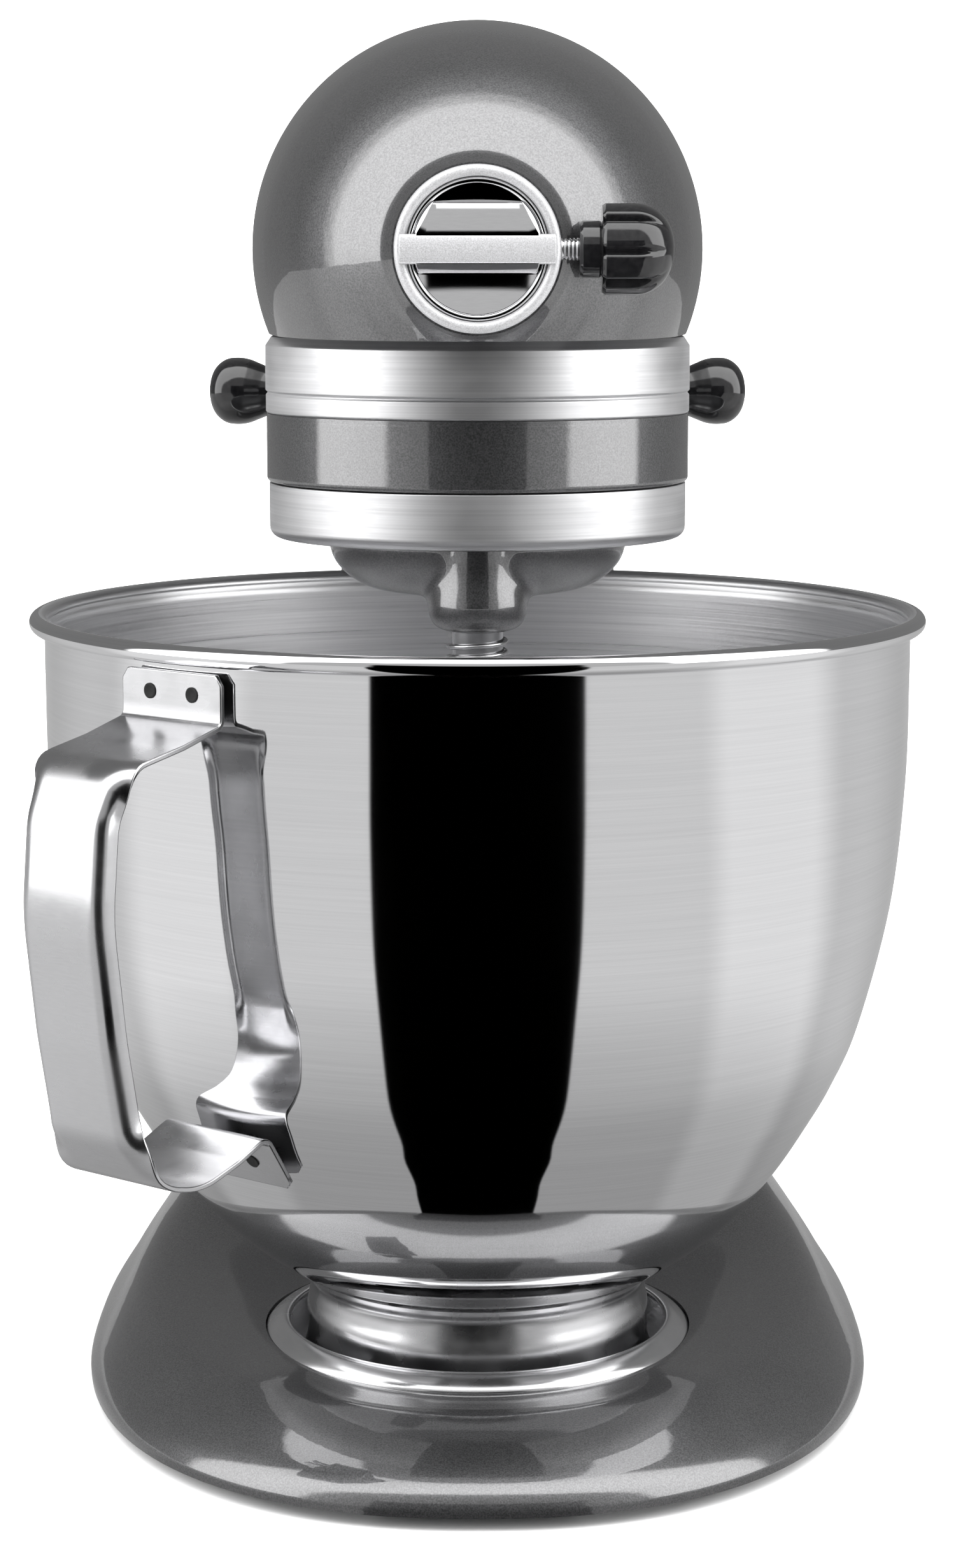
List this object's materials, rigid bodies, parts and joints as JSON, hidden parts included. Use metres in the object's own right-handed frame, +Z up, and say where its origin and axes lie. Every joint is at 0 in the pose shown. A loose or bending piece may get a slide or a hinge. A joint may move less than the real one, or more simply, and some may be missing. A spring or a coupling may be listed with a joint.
{
  "type": "tilt-head stand mixer",
  "caption": "Tilt-head stand mixer with a round painted head, front attachment hub, planetary beater drive and a polished steel bowl with a strap handle on a flared base.",
  "frame": {"origin": "on the table, at the middle of the overall footprint", "axes": "+Z up, -Y the way the attachment hub faces, +X towards the hub's clamp knob"},
  "size_m": [0.224, 0.3634, 0.3537],
  "materials": {
    "paint": "dark metallic grey enamel, gloss clear coat",
    "brushed_trim": "fine brushed, satin",
    "polished_steel": "mirror polished outside, brushed inside",
    "chrome": "bright plated",
    "brushed_plate": "brushed",
    "steel": "machined",
    "laminated_iron": "stacked laminations",
    "black_plastic": "gloss",
    "dark_plastic": "moulded",
    "carbon": "dull, sintered",
    "rubber": "matt",
    "bronze": "machined bronze",
    "copper": "lacquered copper",
    "cast_aluminium": "as cast"
  },
  "bodies": {
    "base": {"pedestal": "paint", "rubber_feet": "rubber", "bowl_clamp_plate": "brushed_plate", "clamp_plate_screws": "steel", "hinge_pin": "steel", "height_screw": "steel", "lock_catch": "steel"},
    "head": {"head_housing": "paint", "end_cover": "paint", "end_cover_screw": "steel", "lower_gearcase": "paint", "trim_band": "brushed_trim", "drip_ring": "brushed_trim", "gearcase_screws": "steel", "cord_grommet": "rubber", "attachment_hub": "chrome", "hub_bushing": "bronze", "motor_stator": "laminated_iron", "field_windings": "copper", "motor_bearings": "steel", "front_bearing_plate": "cast_aluminium", "rear_bearing_bracket": "cast_aluminium", "brush_holders": "bronze", "carbon_brushes": "carbon", "brush_caps": "black_plastic", "speed_control_plate": "dark_plastic", "worm_gear_bracket": "cast_aluminium", "planetary_bearings": "steel", "ring_gear": "steel", "lever_pivots": "steel", "hinge_bushings": "bronze"},
    "planetary": {"planetary_carrier": "paint", "vertical_shaft": "steel", "center_bevel_gear": "steel"},
    "beater_drive": {"beater_shaft": "steel", "beater_pin": "steel", "beater_pinion": "steel", "beater_spring": "steel"},
    "rotor": {"armature": "laminated_iron", "commutator": "copper", "cooling_fan": "dark_plastic", "governor": "dark_plastic", "worm": "steel"},
    "cross_shaft": {"worm_gear_shaft": "steel", "worm_gear": "bronze", "bevel_pinion": "steel"},
    "hub_drive": {"hub_drive_shaft": "steel", "hub_bevel_gear": "steel"},
    "cap": {"hub_cap": "chrome"},
    "hub_clamp": {"hub_knob": "black_plastic", "hub_screw": "chrome"},
    "speed_lever": {"speed_lever_arm": "steel", "speed_lever_knob": "black_plastic"},
    "lock_lever": {"lock_lever_arm": "steel", "lock_lever_knob": "black_plastic"},
    "bolt": {"lock_bolt": "steel"},
    "bowl_unit": {"bowl": "polished_steel", "bowl_foot": "polished_steel", "bowl_handle": "polished_steel"}
  },
  "joints": [
    {"name": "head_tilt", "type": "hinge", "parent": "base", "child": "head", "pos_m": [0, 0.1, 0.226], "axis": [-1, 0, 0], "range_deg": [0, 35]},
    {"name": "motor_spin", "type": "hinge", "parent": "head", "child": "rotor", "pos_m": [0, -0.06, 0.3157], "axis": [0, 1, 0], "continuous": true},
    {"name": "cross_shaft_spin", "type": "hinge", "parent": "head", "child": "cross_shaft", "pos_m": [0, -0.06, 0.2967], "axis": [1, 0, 0], "continuous": true},
    {"name": "planetary_spin", "type": "hinge", "parent": "head", "child": "planetary", "pos_m": [0, -0.06, 0.226], "axis": [0, 0, 1], "continuous": true},
    {"name": "beater_spin", "type": "hinge", "parent": "planetary", "child": "beater_drive", "pos_m": [0, -0.088, 0.2], "axis": [0, 0, 1], "continuous": true},
    {"name": "hub_drive_spin", "type": "hinge", "parent": "head", "child": "hub_drive", "pos_m": [0, -0.09, 0.2967], "axis": [0, 1, 0], "continuous": true},
    {"name": "hub_cap_slide", "type": "slide", "parent": "head", "child": "cap", "axis": [0, -1, 0], "range_m": [0, 0.12]},
    {"name": "hub_knob_turn", "type": "hinge", "parent": "head", "child": "hub_clamp", "pos_m": [0.03, -0.148, 0.2967], "axis": [1, 0, 0], "range_deg": [-720, 0]},
    {"name": "speed_lever_turn", "type": "hinge", "parent": "head", "child": "speed_lever", "pos_m": [-0.034, 0.038, 0.258], "axis": [0, 0, 1], "range_deg": [0, 40]},
    {"name": "lock_lever_turn", "type": "hinge", "parent": "head", "child": "lock_lever", "pos_m": [0.034, 0.038, 0.258], "axis": [0, 0, -1], "range_deg": [0, 30]},
    {"name": "lock_bolt_slide", "type": "slide", "parent": "head", "child": "bolt", "axis": [-1, 0, 0], "range_m": [0, 0.0052]},
    {"name": "bowl_twist", "type": "hinge", "parent": "base", "child": "bowl_unit", "pos_m": [0, -0.06, 0.02], "axis": [0, 0, 1], "range_deg": [0, 34]}
  ],
  "couplings": [
    {"joint": "cross_shaft_spin", "follows": "motor_spin", "ratio": 0.0625},
    {"joint": "planetary_spin", "follows": "motor_spin", "ratio": 0.03125},
    {"joint": "beater_spin", "follows": "motor_spin", "ratio": -0.09375},
    {"joint": "hub_drive_spin", "follows": "motor_spin", "ratio": -0.0625},
    {"joint": "lock_bolt_slide", "follows": "lock_lever_turn", "m_per_rad": 0.009549}
  ]
}
